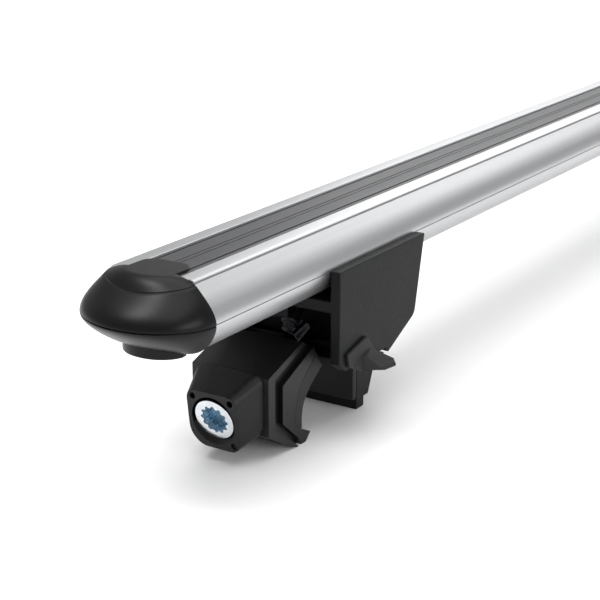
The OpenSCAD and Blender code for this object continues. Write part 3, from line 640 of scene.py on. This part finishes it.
def cap_dome():
    """The dome of the left cap, closed by a flat seam at the end of the bar."""
    bm = bmesh.new()
    summit = bm.verts.new(place(-BAR_END, 0, TONGUE_T))
    bottom = bm.verts.new(place(-BAR_END, 0, -BAR_H - PROUD))
    grid = []
    for i in range(RIBS + 1):
        angle = math.radians(-90 + 180 * i / RIBS)
        outwards = 0 if i in (0, RIBS) else math.cos(angle)
        grid.append([bm.verts.new(place(-BAR_END - r * outwards, r * math.sin(angle), z))
                     for r, z in cap_rib(angle)])
    for i in range(RIBS):
        bm.faces.new((summit, grid[i][0], grid[i + 1][0]))
        bm.faces.new((bottom, grid[i + 1][-1], grid[i][-1]))
        for j in range(len(grid[i]) - 1):
            bm.faces.new((grid[i][j], grid[i][j + 1], grid[i + 1][j + 1], grid[i + 1][j]))
    bm.faces.new([summit, *grid[-1], bottom, *reversed(grid[0])])
    return bm


cap = cap_dome()
print("the dome has", RIBS + 1, "ribs and", len(cap.verts), "points")

# %% [markdown]
# ## The lugs of the end caps
#
# A cap is more than its dome. A tongue laps over the strip, a half-round tab closes the bottom
# slot, a low sill runs under the seam, and two plugs grip the side hollows of the bar. The first
# three are slabs with a rounded edge, stacked from insets of one outline, and the plugs are short
# extrusions of the hollow itself, a little smaller. The right cap mirrors the left one.

# %% The lugs of the end caps
def slab(bm, outline, z_from, z_to, rounding):
    """A flat moulded lug with its edge rounded at z_to; the outline is (x, y) in millimetres."""
    mid_x, mid_y = (sum(values) / len(outline) for values in zip(*outline))
    step = math.copysign(rounding, z_to - z_from)
    rings = [(z_from, 0.0), (z_to - step, 0.0)]
    rings += [(z_to - step * (1 - math.sin(a)), rounding * (1 - math.cos(a)))
              for a in (math.radians(22.5 * k) for k in (1, 2, 3, 4))]
    layers = []
    for z, inset in rings:
        layer = []
        for x, y in outline:
            share = 1 - inset / math.hypot(x - mid_x, y - mid_y)
            inner = place(mid_x + (x - mid_x) * share, mid_y + (y - mid_y) * share, z)
            layer.append(bm.verts.new(inner))
        layers.append(layer)
    for low, high in zip(layers, layers[1:]):
        for i in range(len(low)):
            j = (i + 1) % len(low)
            bm.faces.new((low[i], low[j], high[j], high[i]))
    bm.faces.new(list(reversed(layers[0])))
    bm.faces.new(layers[-1])


def arc(cx, cy, rx, ry, start, end, steps):
    """Points on an arc of an ellipse, in degrees."""
    angles = [math.radians(start + (end - start) * i / steps) for i in range(steps + 1)]
    return [(cx + rx * math.cos(angle), cy + ry * math.sin(angle)) for angle in angles]


def mirrored(bm):
    """The same mesh on the other end of the bar."""
    twin = bm.copy()
    for vertex in twin.verts:
        vertex.co.x = -vertex.co.x
    bmesh.ops.reverse_faces(twin, faces=twin.faces)
    return twin


tongue_half, tongue_corner, tongue_from, tongue_to = 11.3, 6.0, -BAR_END - 2.0, -BAR_END + 13.3
corner_x, corner_y = tongue_to - tongue_corner, tongue_half - tongue_corner
slab(cap, [(tongue_from, -tongue_half),
           *arc(corner_x, -corner_y, tongue_corner, tongue_corner, -90, 0, 12),
           *arc(corner_x, corner_y, tongue_corner, tongue_corner, 0, 90, 12),
           (tongue_from, tongue_half)], 0.2, TONGUE_T - 0.01, 0.25)
tab_low, tab_in, sill_from, sill_half = -BAR_H - 2.5, -BAR_END + 2.0, -BAR_END - 1.0, 14.2
slab(cap, arc(tab_in, 0, 11.6, 14.7, 100, 260, 44), -BAR_H + 4.5, tab_low, 0.5)
slab(cap, [(sill_from, -sill_half), (tab_in, -sill_half), (tab_in, sill_half),
           (sill_from, sill_half)], -BAR_H - 0.1, tab_low, 0.3)
plug_l, plug_in, plug_out, plug_inset, plug_share = 16, 11.8, 27.4, 2.4, 27.7 / 30
plug = [(min(max(y * plug_share, plug_in), plug_out), max(min(z, -plug_inset), plug_inset - BAR_H))
        for y, z in hollow]
plug_mesh = extruded([plug], -BAR_END, -BAR_END + plug_l)
plug_data = bpy.data.meshes.new("cap_plug")
plug_mesh.to_mesh(plug_data)
plug_mesh.free()
cap.from_mesh(plug_data)
plug_data.transform(Matrix.Scale(-1, 4, (0, 1, 0)))
plug_data.flip_normals()
cap.from_mesh(plug_data)
bpy.data.meshes.remove(plug_data)
cap_twin = mirrored(cap)
finish_piece("end_cap_skin_left", cap, "end_cap_left", 28.0)
finish_piece("end_cap_skin_right", cap_twin, "end_cap_right", 28.0)
print("two caps, each with a tongue, a tab, a sill and two plugs")

# %% [markdown]
# ## Easing the edges of the hardware
#
# No real edge is knife sharp: castings and mouldings leave the tool with a radius of a fraction of
# a millimetre, and that radius is what catches the light. The rest of the pieces keep their CAD
# shape, so each is copied, stray and empty triangles are dropped, the flat ones are merged back
# into faces, and each sharp edge gets a small bevel. Curved faces are made of short flats that
# meet at less than the set angle, so they are left alone. A bevel is only as wide as its tightest
# corner allows, so edges beside very short ones stay sharp: each piece has a radius, and a room
# that the edges next to a bevelled one have to exceed, both in millimetres.

# %% Easing the edges
EASED = {
    "foot_bracket": (0.5, 1.1), "saddle_pad": (0.4, 0.88), "inner_liner": (0.5, 1.1),
    "rail_claw": (0.45, 0.8), "claw_liner": (0.35, 1.0), "bolt_housing": (0.5, 1.1),
    "clamp_washer": (0.15, 0.0), "bolt_clip": (0.1, 0.0), "clamp_nut": (0.25, 0.0),
    "slot_nuts": (0.25, 0.0), "slot_washers": (0.15, 0.0), "slot_bolts": (0.3, 0.0),
    "stop_collar": (0.2, 0.0),
}


def eased(node, radius, room, edge_angle=24.0):
    """A copy of a CAD node as a bmesh, with its sharp edges rounded where they have room."""
    bm = bmesh.new()
    bm.from_mesh(frame["nodes"][node].data)
    bmesh.ops.remove_doubles(bm, verts=bm.verts, dist=2e-6)
    stray = [f for f in bm.faces if any(len(e.link_faces) == 1 for e in f.edges)]
    bmesh.ops.delete(bm, geom=stray, context="FACES")
    bmesh.ops.dissolve_degenerate(bm, dist=1e-6, edges=bm.edges)
    bmesh.ops.dissolve_limit(bm, angle_limit=math.radians(0.5), verts=bm.verts, edges=bm.edges)
    sharp = [e for e in bm.edges if len(e.link_faces) == 2
             and e.calc_face_angle(0.0) > math.radians(edge_angle)
             and all(beside.calc_length() > room * MM
                     for corner in e.verts for beside in corner.link_edges)]
    bmesh.ops.bevel(bm, geom=sharp, offset=radius * MM, offset_type="OFFSET", segments=2,
                    profile=0.5, affect="EDGES", clamp_overlap=True, loop_slide=True)
    bmesh.ops.dissolve_degenerate(bm, dist=1e-7, edges=bm.edges)
    return bm


for family, (radius, room) in EASED.items():
    for side in ("left", "right"):
        node = f"{family}_{side}"
        finish_piece(f"{family}_eased_{side}", eased(node, radius, room), node, 34.0)
print("eased", 2 * len(EASED), "pieces")

# %% [markdown]
# ## Threads
#
# The CAD screws are plain cylinders. A real thread is rolled: its crest keeps the outer diameter
# and its depth is about 0.61 of the pitch. A sleeve of rings does it: the radius rises and falls
# once per pitch, and the rise winds round the axis. The stop screw is M5 with a pitch of 0.8 mm
# and the clamp bolt is M8 with a pitch of 1.25 mm, threaded over its last third. The plain end of
# the clamp bolt is cut off first and its cut is closed, so that the thread takes its place.

# %% Threads
STOP_ROOT, STOP_ANGLE, STOP_LENGTH = (13.7, -34.5), math.radians(224.0), 24.0
STOP_RADIUS, STOP_PITCH, BOLT_RADIUS, BOLT_PITCH = 2.5, 0.8, 4.0, 1.25
BOLT_THREAD_FROM, BOLT_THREAD_TO, OVERLAP = 62.0, 95.2, 0.1
DEPTH_SHARE = 0.61


def on_axis(root, angle, s, r, turn, side):
    """The place at distance s along an axis of a foot, r away from it and turned round it."""
    u = root[0] + s * math.cos(angle) - r * math.cos(turn) * math.sin(angle)
    z = root[1] + s * math.sin(angle) + r * math.cos(turn) * math.cos(angle)
    return place(side * (FOOT_X - u), r * math.sin(turn), z)


def thread_sleeve(bm, root, angle, s_from, s_to, radius, pitch, side, around=24, per_pitch=6):
    """Adds a threaded rod with closed ends; the thread runs in and out over one pitch."""
    depth = DEPTH_SHARE * pitch
    rings = []
    for i in range(int((s_to - s_from) / pitch * per_pitch) + 1):
        s = s_from + i * pitch / per_pitch
        fade = max(min(1.0, i / per_pitch, (s_to - s) / pitch), 0.0)
        ring = []
        for j in range(around):
            phase = (s / pitch - j / around) % 1.0
            r = radius - depth * (1 - abs(2 * phase - 1)) * fade
            ring.append(bm.verts.new(on_axis(root, angle, s, r, 2 * math.pi * j / around, side)))
        rings.append(ring)
    for low, high in zip(rings, rings[1:]):
        for j in range(around):
            bm.faces.new((low[j], low[(j + 1) % around], high[(j + 1) % around], high[j]))
    bm.faces.new(list(reversed(rings[0])))
    bm.faces.new(rings[-1])


for side, end in ((-1, "left"), (1, "right")):
    screw = bmesh.new()
    thread_sleeve(screw, STOP_ROOT, STOP_ANGLE, 0.0, STOP_LENGTH, STOP_RADIUS, STOP_PITCH, side)
    finish_piece(f"stop_screw_thread_{end}", screw, f"stop_screw_{end}", 50.0)
    bolt = eased(f"clamp_bolt_{end}", 0.25, 0.0)
    tail_at = on_axis(BOLT_ROOT, BOLT_ANGLE, BOLT_THREAD_FROM, 0.0, 0.0, side)
    beyond = on_axis(BOLT_ROOT, BOLT_ANGLE, BOLT_THREAD_TO, 0.0, 0.0, side)
    bmesh.ops.bisect_plane(bolt, geom=bolt.verts[:] + bolt.edges[:] + bolt.faces[:],
                           plane_co=tail_at, plane_no=(beyond - tail_at).normalized(),
                           clear_outer=True)
    rim = [edge for edge in bolt.edges if edge.is_boundary]
    bmesh.ops.triangle_fill(bolt, use_beauty=True, edges=rim)
    thread_sleeve(bolt, BOLT_ROOT, BOLT_ANGLE, BOLT_THREAD_FROM - OVERLAP, BOLT_THREAD_TO,
                  BOLT_RADIUS, BOLT_PITCH, side)
    finish_piece(f"clamp_bolt_thread_{end}", bolt, f"clamp_bolt_{end}", 40.0)
print("threaded four screws")
